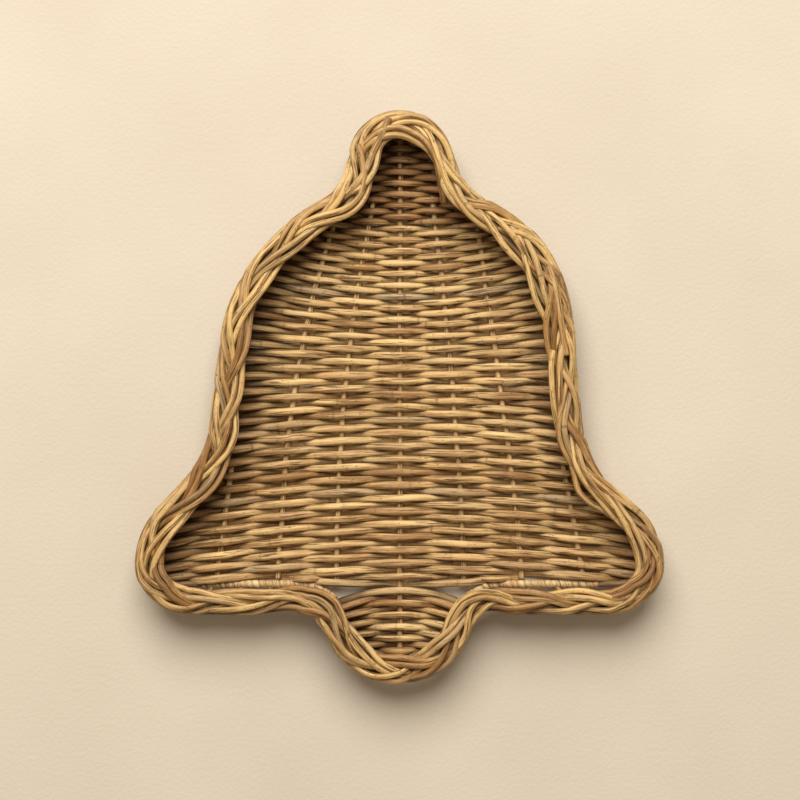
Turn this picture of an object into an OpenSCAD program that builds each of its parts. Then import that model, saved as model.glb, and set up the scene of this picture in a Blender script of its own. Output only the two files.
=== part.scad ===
// Bell-shaped serving tray of woven rattan.
// +Z is up, the crown of the bell points along +Y, and the origin is under the middle of the tray
// on the surface that it stands on.

/* [Outline] */
// Radius of the crown, at the outside of the rim
crown_r = 40; // [38:1:42]
// Turn of the crown arc from its top to the flare, degrees
crown_turn = 73; // [70:1:75]
// Straight flare between the crown and the neck
flare_len = 18.5; // [16:0.5:22]
// Radius of the hollow neck
neck_r = 34; // [30:1:38]
// Heading of the sloping shoulder below the level, degrees
shoulder_slope = 30.5; // [29:0.5:32]
// Straight part of the sloping shoulder
shoulder_len = 16; // [14:1:18]
// Radius of the round shoulder
shoulder_r = 126; // [122:1:130]
// Heading of the long side below the level, degrees
side_slope = 84; // [82:1:86]
// Straight length of the side
side_len = 66; // [60:1:72]
// Radius of the hollow waist
waist_r = 77; // [70:1:84]
// Heading of the flaring skirt below the level, degrees
skirt_slope = 46; // [44:1:48]
// Straight length of the skirt
skirt_len = 30; // [26:1:34]
// Radius of the skirt's upper corner
lip_r = 62; // [58:1:66]
// Radius of the skirt's lower corner
heel_r = 34; // [33:1:36]
// Radius of the hollow corner between the hem and the clapper
notch_r = 22; // [20:1:24]
// Heading of the clapper's side below the level, degrees
clapper_slope = 108; // [106:1:112]
// Radius of the clapper's round end
clapper_r = 60; // [57:1:63]

/* [Rods] */
// Radius of the rod that frames the floor
frame_r = 2.4; // [2.2:0.1:2.6]
// Distance of the frame rod's middle line inside the outline
frame_inset = 17; // [16.5:0.25:17.5]
// Radius of the ribs
rib_r = 2.1; // [1.9:0.1:2.2]
// Radius of the upright stakes in the low wall
stake_r = 1.9; // [1.6:0.1:2]
// Distance of the stakes' middle line inside the outline
stake_inset = 13.5; // [13.5:0.1:14]
// Radius of the rods laid round the wall
wall_rod_r = 2.2; // [2:0.1:2.3]
// Thickness of the peel wound on the frame rod along the hem
peel_t = 0.8; // [0.6:0.1:0.9]

/* [Floor] */
// Radius of the weavers in the wide part of the floor
weaver_r = 2.34; // [2.2:0.02:2.36]
// Radius of the weavers from the shoulders up
slim_weaver_r = 2; // [1.9:0.02:2.04]
// Radius of the weavers in the clapper and across its mouth
clapper_weaver_r = 2.05; // [1.9:0.05:2.1]
// Number of rows from the hem to the foot of the shoulders
body_rows = 36; // [34:1:36]
// Number of closer rows from there to the top of the crown
shoulder_rows = 35; // [33:1:35]
// Height along the bell at which the closer rows start
shoulder_y = 42; // [41:0.5:44]
// Number of rows in the clapper
clapper_rows = 11; // [9:1:11]
// Drop from the hem to the first row of the clapper
clapper_drop = 5; // [4.9:0.1:5.4]

/* [Rim] */
// Overall height of the tray
tray_h = 45; // [44.5:0.5:50]
// Radius of each rod in the plait
plait_r = 2.35; // [2.1:0.05:2.4]
// Sideways swing of a strand of the plait, measured round the roll
plait_swing = 8.4; // [8:0.1:8.6]
// Rise and fall of a strand of the plait
plait_lift = 3; // [2.8:0.1:3.2]
// Number of times that each strand swings out and back in one lap
plait_laps = 6; // [5:1:7]
// Radius of the roll that the plait is bent over
roll_r = 12; // [11:0.5:14]
// How far the plait is turned towards the outside of the roll, measured round it
roll_shift = 3; // [2:0.5:4]
// Number of stakes in the wall
stakes = 56; // [40:2:64]

/* [Hidden] */
$fn = 48;

honey = [0.80, 0.62, 0.38];
straw = [0.85, 0.70, 0.45];
peach = [0.84, 0.62, 0.40];
umber = [0.66, 0.49, 0.30];

clear = 0.1;          // gap that keeps crossing rods apart
overhang = 3.5;       // how far a weaver's cut end reaches past the frame rod
tenon = 0.5;          // length by which a slimmer piece of rod enters the next one
slim = 0.05;          // how much slimmer every second piece of a rod is
crown_room = 1;       // room between the last row and the frame rod at the crown
hem_tip = 11;         // how far the short hem row reaches past the inner ribs
rib_dip = 1;          // how far the inner ribs reach past the hem, where no rod frames it

// ---- The bell's outline: right half, from the top of the crown clockwise to the clapper ----
// A step is [radius, turn] for an arc, with both negative where the outline is hollow, or
// [0, length] for a straight. An inset of the outline changes only the radii.
function steps(inset, hem) = [
  [crown_r - inset, crown_turn],
  [0, flare_len],
  [-neck_r - inset, shoulder_slope - crown_turn],
  [0, shoulder_len],
  [shoulder_r - inset, side_slope - shoulder_slope],
  [0, side_len],
  [-waist_r - inset, skirt_slope - side_slope],
  [0, skirt_len],
  [lip_r - inset, 90 - skirt_slope],
  [heel_r - inset, 90],
  [0, hem],
  [-notch_r - inset, clapper_slope - 180],
  [clapper_r - inset, 180 - clapper_slope]
];
last_step = 12;
hem_step = 10;

// The pose [x, y, heading] after one step; a heading of 0 points along +X and turns clockwise.
function hub(pose, r) = [pose[0] - r * sin(pose[2]), pose[1] - r * cos(pose[2])];
function after(pose, step) = step[0] == 0
  ? [pose[0] + step[1] * cos(pose[2]), pose[1] - step[1] * sin(pose[2]), pose[2]]
  : let (c = hub(pose, step[0]), h = pose[2] + step[1])
    [c[0] + step[0] * sin(h), c[1] + step[0] * cos(h), h];
function poses(list, pose, i = 0) = i == len(list)
  ? [pose]
  : concat([pose], poses(list, after(pose, list[i]), i + 1));

// The hem is as long as it takes to bring the clapper's end back to the middle line.
open_walk = poses(steps(0, 0), [0, 0, 0]);
hem_len = open_walk[last_step + 1][0];
top_y = -open_walk[last_step + 1][1] / 2;
function walk(inset) = poses(steps(inset, hem_len), [0, top_y - inset, 0]);

// Half-width of the inset outline at a height y, and its heading there.
frame_walk = walk(frame_inset);
frame_steps = steps(frame_inset, hem_len);
hem_y = frame_walk[hem_step][1];
function step_at(y, i = 0) = (y >= frame_walk[i + 1][1] || i == last_step) ? i : step_at(y, i + 1);
function heading_at(y) = let (i = step_at(y), s = frame_steps[i], p = frame_walk[i])
  s[0] == 0 ? p[2] : acos(max(-1, min(1, (y - hub(p, s[0])[1]) / s[0])));
function half_width(y) = let (i = step_at(y), s = frame_steps[i], p = frame_walk[i])
  s[0] == 0 ? p[0] + (p[1] - y) * cos(p[2]) / sin(p[2])
            : hub(p, s[0])[0] + s[0] * sin(heading_at(y));

// ---- Ribs: flat arcs through a top, a middle and a bottom point, fanning out from the crown ----
rib_points = [
  [[22, 154], [40, 20], [49, -140]],
  [[55, 134], [80, 0], [94, -140]],
  [[127, -49], [134, -93], [141, -140]]
];
function circle_hub(a, b, c) =
  let (m = (a + b) / 2, n = (b + c) / 2, u = b - a, v = c - b,
       det = u[0] * v[1] - u[1] * v[0])
  [(m * u * v[1] - n * v * u[1]) / det, (n * v * u[0] - m * u * v[0]) / det];
rib_hubs = [for (p = rib_points) circle_hub(p[0], p[1], p[2])];
rib_radii = [for (i = [0:2]) norm(rib_points[i][0] - rib_hubs[i])];
function rib_side(i) = rib_hubs[i][0] < rib_points[i][0][0] ? 1 : -1;
function rib_x(i, y) =
  rib_hubs[i][0] + rib_side(i) * sqrt(pow(rib_radii[i], 2) - pow(y - rib_hubs[i][1], 2));

// ---- Rows of the floor, counted from the hem up; the clapper's rows are counted down ----
first_row_y = hem_y + frame_r + peel_t + weaver_r + clear;
last_row_y = frame_walk[0][1] - frame_r - slim_weaver_r - crown_room;
body_pitch = (shoulder_y - first_row_y) / (body_rows - 1);
shoulder_pitch = (last_row_y - shoulder_y) / shoulder_rows;
row_count = body_rows + shoulder_rows;
function row_y(i) = i < body_rows ? first_row_y + i * body_pitch
  : shoulder_y + (i - body_rows + 1) * shoulder_pitch;

first_clapper_y = hem_y - clapper_drop;
last_clapper_y = frame_walk[last_step + 1][1] + frame_r + clapper_weaver_r + clear;
clapper_pitch = (first_clapper_y - last_clapper_y) / (clapper_rows - 1);

mid_z = frame_r + 2 * weaver_r + clear;
floor_top = 2 * mid_z;

// The places on the right half where a row at height y crosses the ribs and the frame rod.
function crosses(i, y, r) = y < rib_points[i][0][1] && y > hem_y
  && half_width(y) - rib_x(i, y) > 2 * (frame_r + r + clear) + 1;
function posts_at(y, r) =
  concat([0], [for (i = [0:2]) if (crosses(i, y, r)) rib_x(i, y)], [half_width(y)]);

// A row is [y, radius of its weaver, side of the middle rib that it passes, places that it crosses];
// the side is 1 over or -1 under.
function new_row(y, r, side) = [y, r, side, posts_at(y, r)];
rows = [for (i = [0:row_count - 1])
  new_row(row_y(i), i < body_rows ? weaver_r : slim_weaver_r, i % 2 == 0 ? -1 : 1)];
clapper_list = [for (i = [0:clapper_rows - 1])
  new_row(first_clapper_y - i * clapper_pitch, clapper_weaver_r, i % 2 == 0 ? 1 : -1)];

function swing(row) = frame_r + row[1] + clear;   // height of a weaver's middle line over a rib
function posts(row) = row[3];
function end_side(row) = row[2] * (len(posts(row)) % 2 == 0 ? -1 : 1);

// A weaver's rows all cross the same ribs, so the rows are shared out between weavers in bands.
function band_end(i) = (i == row_count - 1 || len(posts(rows[i + 1])) != len(posts(rows[i])))
  ? i + 1 : band_end(i + 1);
skirt_end = band_end(0);
body_end = band_end(skirt_end);
shoulder_end = band_end(body_end);
// Each band is [first row, end row, number of weavers].
bands = [[0, skirt_end, 3], [skirt_end, body_end, 7],
         [body_end, shoulder_end, 1], [shoulder_end, row_count, 2]];
weaver_starts = [for (b = bands, k = [0:b[2] - 1])
  b[0] + floor((b[1] - b[0]) * k / b[2] + 0.5)];

// Where a weaver starts to turn round the frame rod between two rows.
function bend_r(a, b) = norm([a[0] - b[0], swing(a) + swing(b)]) / 2;
function bend_x(a, b) = let (y = (a[0] + b[0]) / 2)
  max(half_width(a[0]), half_width(b[0]),
      half_width(y) + (frame_r + a[1] + 3 * clear) / sin(heading_at(y)) - bend_r(a, b));

// ---- Plait: five pairs of rods that cross over one another all round the rim ----
strand_count = 5;
max_lean = (roll_shift + plait_swing + plait_r) / roll_r * 180 / PI;
min_lean = (roll_shift - plait_swing - plait_r) / roll_r * 180 / PI;
roll_centre = roll_r * (sin(max_lean) + sin(min_lean)) / 2;
plait_inset = roll_r * (sin(max_lean) - sin(min_lean)) / 2 + plait_r;
roll_z = tray_h - plait_r - plait_lift - roll_r;
plait_floor = roll_z + roll_r - plait_lift - plait_r;   // underside of the plait over the stakes
plait_walk = walk(plait_inset);
plait_steps = steps(plait_inset, hem_len);
function step_len(s) = s[0] == 0 ? s[1] : abs(s[0] * s[1]) * PI / 180;
function total(list, i = 0) = i == len(list) ? 0 : step_len(list[i]) + total(list, i + 1);
half_lap = total(plait_steps);

// The point [x, y, heading] at a distance along the plait's middle line, from the crown clockwise.
function along(t, i = 0) = let (s = plait_steps[i], n = step_len(s))
  (t <= n || i == last_step) ? after(plait_walk[i], s[0] == 0 ? [0, t] : [s[0], s[1] * t / n])
                             : along(t - n, i + 1);
function lap(t) = t <= half_lap ? along(t)
  : let (p = along(2 * half_lap - t)) [-p[0], p[1], -p[2]];
function outward(p, u, z) = [p[0] + u * sin(p[2]), p[1] + u * cos(p[2]), z];

ring_sides = 6;
rings_per_swing = 17;
plait_rings = plait_laps * rings_per_swing;
// The plait lies on a round: s is the distance round it and w the height above it.
function rolled(p, s, w) = let (lean = (s + roll_shift) / roll_r * 180 / PI)
  outward(p, (roll_r + w) * sin(lean) - roll_centre, roll_z + (roll_r + w) * cos(lean));
// One rod of the plait: its middle line as points, for a strand from 0 and a side 1 or -1.
function strand(number, side) = [for (i = [0:plait_rings - 1])
  let (turn = -360 * i / rings_per_swing + 360 * number / strand_count)
  rolled(lap(2 * half_lap * i / plait_rings),
         plait_swing * cos(turn) + side * (plait_r + slim / 2), plait_lift * sin(2 * turn))];

function unit(v) = v / norm(v);
function ring(c, dir, r) = let (s = unit(cross(dir, [0, 0, 1])), up = cross(s, dir))
  [for (k = [0:ring_sides - 1]) let (a = 360 * (k + 0.5) / ring_sides)
    c + r * (cos(a) * s + sin(a) * up)];

// A closed tube round a loop of points.
module loop_tube(line, r) {
  n = len(line);
  rings = [for (i = [0:n - 1]) each ring(line[i], unit(line[(i + 1) % n] - line[(i + n - 1) % n]), r)];
  faces = [for (i = [0:n - 1], k = [0:ring_sides - 1])
    let (a = i * ring_sides, b = ((i + 1) % n) * ring_sides, l = (k + 1) % ring_sides)
    each [[a + k, a + l, b + k], [a + l, b + l, b + k]]];
  polyhedron(rings, faces);
}

// ---- Pieces of rod ----
// Length of arc extra beyond both ends, as an angle.
function extra(r) = tenon / abs(r) * 180 / PI;

// A stretch of rod lying in a level plane along one step of the outline.
module level_piece(pose, step, r, grow) {
  if (step[0] == 0)
    translate([pose[0], pose[1], 0]) rotate([0, 0, -pose[2]]) rotate([0, 90, 0])
      translate([0, 0, -grow]) cylinder(r = r, h = step[1] + 2 * grow);
  else {
    c = hub(pose, step[0]);
    more = grow > 0 ? extra(step[0]) : 0;
    start = step[0] > 0 ? 90 - pose[2] - step[1] : 270 - pose[2];
    translate([c[0], c[1], 0]) rotate([0, 0, start - more])
      rotate_extrude(angle = abs(step[1]) + 2 * more) translate([abs(step[0]), 0]) circle(r);
  }
}

// A rod bent all the way round the bell at an inset from its outline.
module bell_rod(inset, r) {
  path = walk(inset);
  list = steps(inset, hem_len);
  for (i = [1:last_step - 1]) {
    slimmer = i % 2 == 1;
    for (side = [0, 1]) mirror([side, 0, 0])
      level_piece(path[i], list[i], r - (slimmer ? slim : 0), slimmer ? tenon : 0);
  }
  crown_start = after(path[0], [list[0][0], -list[0][1]]);
  level_piece(crown_start, [list[0][0], 2 * list[0][1]], r, 0);
  level_piece(path[last_step], [list[last_step][0], 2 * list[last_step][1]], r, 0);
}

// The middle line of a row from its centre out to the frame, as [x, z, tilt]: between two posts it
// swings from one side of the floor to the other along two equal arcs.
arc_parts = 3;
function swing_arc(x, dir, over, h, run) =
  let (bend = (run * run + h * h) / (2 * h), turn = asin(run / bend))
  [for (k = [0:arc_parts]) let (a = turn * k / arc_parts)
    [x + dir * bend * sin(a), over * (h - bend + bend * cos(a)), -over * dir * a]];
function reversed(list) = [for (i = [len(list) - 1:-1:0]) list[i]];
function half_wave(row) = let (p = posts(row), h = swing(row)) [
  for (j = [0:len(p) - 2])
    let (run = (p[j + 1] - p[j]) / 2, over = row[2] * (j % 2 == 0 ? 1 : -1),
         near = swing_arc(p[j], 1, over, h, run),
         far = swing_arc(p[j + 1], -1, -over, h, run))
    each concat(j == 0 ? [near[0]] : [], [for (k = [1:arc_parts]) near[k]],
                [for (k = [arc_parts - 1:-1:0]) far[k]])
];
function other_half(list) = reversed([for (i = [1:len(list) - 1]) [-list[i][0], list[i][1], -list[i][2]]]);

// One row: a split cane of square section that passes over and under the posts.
module row_cane(row, reach_left, reach_right) {
  half = half_wave(row);
  end = [0, end_side(row) * swing(row), 0];
  line = concat([end - [reach_left, 0, 0]], other_half(half), half, [end + [reach_right, 0, 0]]);
  edge = [for (side = [1, -1]) [for (p = line)
    [p[0] - side * row[1] * sin(p[2]), p[1] + side * row[1] * cos(p[2])]]];
  translate([0, row[0], 0]) rotate([90, 0, 0])
    linear_extrude(height = 2 * row[1], center = true) polygon(concat(edge[0], reversed(edge[1])));
}

// The half-round turn of a weaver from one row to the next, round the frame rod.
module row_turn(a, b) {
  za = end_side(a) * swing(a);
  zb = end_side(b) * swing(b);
  translate([bend_x(a, b), (a[0] + b[0]) / 2, (za + zb) / 2])
    rotate([atan2(zb - za, b[0] - a[0]), 0, 0]) rotate([0, 0, -90])
      rotate_extrude(angle = 180) translate([bend_r(a, b), 0]) circle(a[1] - clear);
}

// One long weaver that runs out and back over several rows.
module weaver(list, first, count) {
  last = first + count - 1;
  color(honey) translate([0, 0, mid_z]) for (i = [first:last]) {
    // The turn at the end of this row is on the right for every second row.
    turns_right = (i - first) % 2 == 0;
    onward = i < last ? bend_x(list[i], list[i + 1]) + tenon : half_width(list[i][0]) + overhang;
    back = i > first ? bend_x(list[i], list[i - 1]) + tenon : half_width(list[i][0]) + overhang;
    row_cane(list[i], turns_right ? back : onward, turns_right ? onward : back);
    if (i < last) mirror([turns_right ? 0 : 1, 0, 0]) row_turn(list[i], list[i + 1]);
  }
}

// The short row that fills the mouth of the clapper, under the centre rib and over the next ones.
module hem_weaver() {
  y = (first_row_y - weaver_r + first_clapper_y + clapper_weaver_r) / 2;
  reach = rib_x(0, y) + hem_tip;
  row = [y, clapper_weaver_r, -1, [0, rib_x(0, y), reach]];
  color(honey) translate([0, 0, mid_z]) row_cane(row, reach + tenon, reach + tenon);
}

// Floor weaver number k, counted from the hem.
module floor_weaver(k) {
  end = k == len(weaver_starts) ? row_count : weaver_starts[k];
  weaver(rows, weaver_starts[k - 1], end - weaver_starts[k - 1]);
}

// ---- Sub-parts ----
// The rod that frames the floor and that the weavers turn round.
module frame_rod() {
  color(umber) translate([0, 0, mid_z]) bell_rod(frame_inset, frame_r);
}

// Peel wound turn by turn on the straight of the frame rod along the hem.
module hem_peel(side) {
  turn_w = 4;      // along the rod, for one turn and the groove after it
  groove = 0.8;    // width of the groove between two turns
  end_room = 1;    // left bare at each end of the straight
  edge = frame_walk[hem_step][0];
  turns = floor((hem_len - 2 * end_room) / turn_w);
  color(peach) mirror([side < 0 ? 1 : 0, 0, 0])
    translate([edge - end_room, hem_y, mid_z]) rotate([0, -90, 0]) difference() {
      union() {
        cylinder(r = frame_r + peel_t / 2, h = turns * turn_w);
        for (i = [0:turns - 1]) translate([0, 0, i * turn_w + groove / 2])
          cylinder(r = frame_r + peel_t, h = turn_w - groove);
      }
      translate([0, 0, -1]) cylinder(r = frame_r + slim, h = turns * turn_w + 2);
    }
}

module rib_centre() {
  top = frame_walk[0][1] - frame_r - clear;
  bottom = frame_walk[last_step + 1][1] + frame_r + clear;
  color(straw) translate([0, bottom, mid_z]) rotate([-90, 0, 0]) cylinder(r = rib_r, h = top - bottom);
}

// A side rib from the frame rod under the rim down to the hem.
module rib(i, side) {
  c = rib_hubs[i];
  low = hem_y + (i == 0 ? -rib_dip : frame_r + peel_t + clear);
  a = atan2(rib_points[i][0][1] - c[1], rib_points[i][0][0] - c[0]);
  b = atan2(low - c[1], rib_x(i, low) - c[0]);
  from = rib_side(i) > 0 ? b : a;
  to = rib_side(i) > 0 ? a : b;
  span = to < from ? to + 360 - from : to - from;
  color(straw) mirror([side < 0 ? 1 : 0, 0, 0])
    translate([c[0], c[1], mid_z]) rotate([0, 0, from])
      rotate_extrude(angle = span) translate([rib_radii[i], 0]) circle(rib_r);
}

// Short stakes that stand on the floor's edge and carry the rim.
module wall_stakes() {
  color(umber) for (i = [0:stakes - 1]) {
    p = lap(2 * half_lap * (i + 0.5) / stakes);
    foot = outward(p, plait_inset - stake_inset, floor_top + clear);
    translate(foot) cylinder(r = stake_r, h = plait_floor - floor_top - 2 * clear);
  }
}

// A rod bent round the outside of the wall. Level 1 lies on the turns of the weavers, and the rods
// above it lie against the stakes.
module wall_rod(level) {
  step_z = 2 * (wall_rod_r + clear);
  color(honey) translate([0, 0, floor_top + (level - 1.5) * step_z])
    bell_rod(stake_inset - stake_r - wall_rod_r - clear, wall_rod_r);
}

// One rod of the rim's plait: strand number, and side 1 for the outer rod of its pair or -1.
module plait_rod(number, side) {
  color(number % 2 == 1 ? straw : honey) loop_tube(strand(number, side), plait_r);
}

// A tucked end of a plait rod, cut off inside the right side of the crown.
module plait_tail() {
  tail_r = 2;
  end = [31, 147, 26];
  bend = 60;       // radius of its curve
  turn = 32;       // degrees of that curve
  heading = 12;    // degrees by which it points away from the crown's top
  tilt = 8;        // degrees by which it drops towards its end
  color(honey) translate(end) rotate([0, -tilt, heading]) translate([-bend, 0, 0])
    rotate_extrude(angle = turn) translate([bend, 0]) circle(tail_r);
}

frame_rod();
hem_peel(-1);  // hem_peel_left
hem_peel(1);  // hem_peel_right
rib_centre();
rib(0, -1);  // rib_left_inner
rib(0, 1);  // rib_right_inner
rib(1, -1);  // rib_left_middle
rib(1, 1);  // rib_right_middle
rib(2, -1);  // rib_left_outer
rib(2, 1);  // rib_right_outer
hem_weaver();
weaver(clapper_list, 0, 6);  // clapper_weaver_1
weaver(clapper_list, 6, clapper_rows - 6);  // clapper_weaver_2
floor_weaver(1);  // weaver_01
floor_weaver(2);  // weaver_02
floor_weaver(3);  // weaver_03
floor_weaver(4);  // weaver_04
floor_weaver(5);  // weaver_05
floor_weaver(6);  // weaver_06
floor_weaver(7);  // weaver_07
floor_weaver(8);  // weaver_08
floor_weaver(9);  // weaver_09
floor_weaver(10);  // weaver_10
floor_weaver(11);  // weaver_11
floor_weaver(12);  // weaver_12
floor_weaver(13);  // weaver_13
wall_stakes();
wall_rod(1);  // wall_rod_1
wall_rod(2);  // wall_rod_2
wall_rod(3);  // wall_rod_3
wall_rod(4);  // wall_rod_4
wall_rod(5);  // wall_rod_5
plait_rod(0, 1);  // plait_a_outer
plait_rod(0, -1);  // plait_a_inner
plait_rod(1, 1);  // plait_b_outer
plait_rod(1, -1);  // plait_b_inner
plait_rod(2, 1);  // plait_c_outer
plait_rod(2, -1);  // plait_c_inner
plait_rod(3, 1);  // plait_d_outer
plait_rod(3, -1);  // plait_d_inner
plait_rod(4, 1);  // plait_e_outer
plait_rod(4, -1);  // plait_e_inner
plait_tail();
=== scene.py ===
"""Looks of a bell-shaped serving tray woven from round rattan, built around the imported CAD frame.

Shapes are worked out in millimetres, in the CAD frame, and written to the meshes in metres.
"""
import math

import bpy
import numpy as np
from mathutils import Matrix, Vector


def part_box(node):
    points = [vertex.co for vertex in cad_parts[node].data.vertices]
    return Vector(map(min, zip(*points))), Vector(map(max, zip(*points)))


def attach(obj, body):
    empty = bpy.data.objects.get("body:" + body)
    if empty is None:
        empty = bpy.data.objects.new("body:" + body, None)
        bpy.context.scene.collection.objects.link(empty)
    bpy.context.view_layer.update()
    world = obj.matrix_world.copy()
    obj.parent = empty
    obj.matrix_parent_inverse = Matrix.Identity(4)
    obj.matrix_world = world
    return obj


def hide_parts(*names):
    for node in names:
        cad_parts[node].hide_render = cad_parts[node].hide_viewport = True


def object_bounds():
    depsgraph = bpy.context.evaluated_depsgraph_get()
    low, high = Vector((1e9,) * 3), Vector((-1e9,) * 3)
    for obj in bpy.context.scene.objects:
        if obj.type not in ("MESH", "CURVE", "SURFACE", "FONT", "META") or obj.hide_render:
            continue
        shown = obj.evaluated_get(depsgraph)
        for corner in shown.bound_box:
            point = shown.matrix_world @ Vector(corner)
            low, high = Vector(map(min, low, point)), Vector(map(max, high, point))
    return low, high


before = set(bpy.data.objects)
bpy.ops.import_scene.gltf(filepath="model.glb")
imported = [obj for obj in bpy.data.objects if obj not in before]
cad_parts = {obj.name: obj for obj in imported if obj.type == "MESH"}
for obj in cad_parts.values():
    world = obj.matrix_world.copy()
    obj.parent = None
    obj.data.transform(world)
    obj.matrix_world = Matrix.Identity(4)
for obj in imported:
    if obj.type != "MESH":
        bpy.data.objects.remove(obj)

MM = 0.001
SEED = 41
cad_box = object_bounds()


def box_mm(node):
    low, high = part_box(node)
    return np.array(low) / MM, np.array(high) / MM


# ---- Driving dimensions, in mm, shared with the CAD model ----
CROWN_R, CROWN_TURN, FLARE_LEN = 40, 73, 18.5
NECK_R, SHOULDER_SLOPE, SHOULDER_LEN, SHOULDER_R = 34, 30.5, 16, 126
SIDE_SLOPE, SIDE_LEN = 84, 66
WAIST_R, SKIRT_SLOPE, SKIRT_LEN = 77, 46, 30
LIP_R, HEEL_R = 62, 34
NOTCH_R, CLAPPER_SLOPE, CLAPPER_R = 22, 108, 60

FRAME_INSET, FRAME_R = 17, 2.4
RIB_R = 2.15
BODY_PITCH, BODY_ROWS = 4.98, 36
SHOULDER_PITCH, SHOULDER_ROWS = 4.385, 35
FIRST_ROW_Y = -132.4
CLAPPER_PITCH, CLAPPER_ROWS = 4.58, 11

STRANDS = "abcde"
PLAIT_LAPS = 6
PLAIT_SWING, PLAIT_LIFT, PLAIT_R = 8.4, 3.0, 2.35
ROLL_R, ROLL_SHIFT = 12.0, 3.0
MAX_LEAN = (ROLL_SHIFT + PLAIT_SWING + PLAIT_R) / ROLL_R
MIN_LEAN = (ROLL_SHIFT - PLAIT_SWING - PLAIT_R) / ROLL_R
ROLL_CENTRE = ROLL_R * (math.sin(MAX_LEAN) + math.sin(MIN_LEAN)) / 2
PLAIT_REACH = ROLL_R * (math.sin(MAX_LEAN) - math.sin(MIN_LEAN)) / 2
PLAIT_INSET = PLAIT_REACH + PLAIT_R

rib_low, rib_high = box_mm("rib_centre")
MID_Z = (rib_low[2] + rib_high[2]) / 2
TRAY_TOP = cad_box[1][2] / MM
BOX_LOW, BOX_HIGH = np.array(cad_box[0]) / MM, np.array(cad_box[1]) / MM
BOX_MARGIN = 0.02


# ---- The bell's outline ----
OUTLINE_STEP = 0.5


def outline_steps(inset, hem):
    """Arcs as (radius, turn), both negative where the outline is hollow, and straights as (0, length)."""
    return [
        (CROWN_R - inset, CROWN_TURN),
        (0, FLARE_LEN),
        (-NECK_R - inset, SHOULDER_SLOPE - CROWN_TURN),
        (0, SHOULDER_LEN),
        (SHOULDER_R - inset, SIDE_SLOPE - SHOULDER_SLOPE),
        (0, SIDE_LEN),
        (-WAIST_R - inset, SKIRT_SLOPE - SIDE_SLOPE),
        (0, SKIRT_LEN),
        (LIP_R - inset, 90 - SKIRT_SLOPE),
        (HEEL_R - inset, 90),
        (0, hem),
        (-NOTCH_R - inset, CLAPPER_SLOPE - 180),
        (CLAPPER_R - inset, 180 - CLAPPER_SLOPE),
    ]


def walk_half(inset, hem, top_y):
    """Dense points (x, y, heading) of the right half, from the top of the crown to the clapper."""
    x, y, h = 0.0, top_y - inset, 0.0
    points = [(x, y, h)]
    for r, amount in outline_steps(inset, hem):
        a = math.radians(h)
        if r == 0:
            for k in np.linspace(0, 1, max(2, int(amount / OUTLINE_STEP)))[1:]:
                points.append((x + amount * k * math.cos(a), y - amount * k * math.sin(a), h))
        else:
            cx, cy = x - r * math.sin(a), y - r * math.cos(a)
            arc_len = abs(r * math.radians(amount))
            for k in np.linspace(0, 1, max(3, int(arc_len / OUTLINE_STEP)))[1:]:
                b = math.radians(h + amount * k)
                points.append((cx + r * math.sin(b), cy + r * math.cos(b), h + amount * k))
            h += amount
        x, y = points[-1][0], points[-1][1]
    return np.array(points)


open_walk = walk_half(0, 0, 0)
HEM_LEN = open_walk[-1, 0]
TOP_Y = -open_walk[-1, 1] / 2


class Loop:
    """The closed outline at the plait's middle line; a distance t runs clockwise from the crown."""

    def __init__(self, inset):
        half = walk_half(inset, HEM_LEN, TOP_Y)
        back = half[-2:0:-1] * [-1, 1, -1]
        ring = np.vstack([half, back, half[:1]])
        self.inset = inset
        self.t = np.concatenate([[0], np.cumsum(np.hypot(*np.diff(ring[:, :2], axis=0).T))])
        self.length = self.t[-1]
        self.half = self.t[len(half) - 1]
        a = np.radians(ring[:, 2])
        self.table = np.column_stack([ring[:, :2], np.sin(a), np.cos(a)])

    def at(self, t, inset):
        """Points and outward directions at distances t, at another inset of the outline."""
        t = np.mod(t, self.length)
        x, y, ox, oy = (np.interp(t, self.t, c) for c in self.table.T)
        out = np.column_stack([ox, oy]) / np.hypot(ox, oy)[:, None]
        return np.column_stack([x, y]) + out * (self.inset - inset)[..., None], out


loop = Loop(PLAIT_INSET)
frame_half = walk_half(FRAME_INSET, HEM_LEN, TOP_Y)
HEM_Y = frame_half[np.argmax(frame_half[:, 2] >= 180), 1]


def half_width(y):
    """Half-width of the frame rod's middle line at a height y on the tray."""
    return np.interp(-y, -frame_half[:, 1], frame_half[:, 0])


def heading_sin(y):
    """How steeply the frame rod runs at a height y: 1 where it runs straight down, and at least 0.3."""
    h = np.interp(-y, -frame_half[:, 1], frame_half[:, 2])
    return max(0.3, abs(math.sin(math.radians(h))))


# Sideways stray of the edge, to the right where positive: height on the tray, span and mm. The clapper
# strays as a whole, from where it starts.
SHOULDER_STRAY, WAIST_STRAY = (128, 42, 4.4), (-10, 75, 3.0)
CLAPPER_START, CLAPPER_RAMP, CLAPPER_STRAY = -150, 25, 2.3
NARROWEST = 15


def bell_curve(x, middle, span, height):
    return height * np.exp(-((x - middle) / span) ** 2)


def lean_of_hand(verts):
    """The tray isn't even: its edge strays right at the shoulders, left at the waist and the clapper."""
    x, y = verts[:, 0], verts[:, 1]
    stray = bell_curve(y, *SHOULDER_STRAY) - bell_curve(y, *WAIST_STRAY)
    stray = stray - CLAPPER_STRAY * np.clip((CLAPPER_START - y) / CLAPPER_RAMP, 0, 1)
    edge = np.maximum(half_width(y), NARROWEST)
    return x + stray * np.minimum(np.abs(x) / edge, 1)


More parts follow.
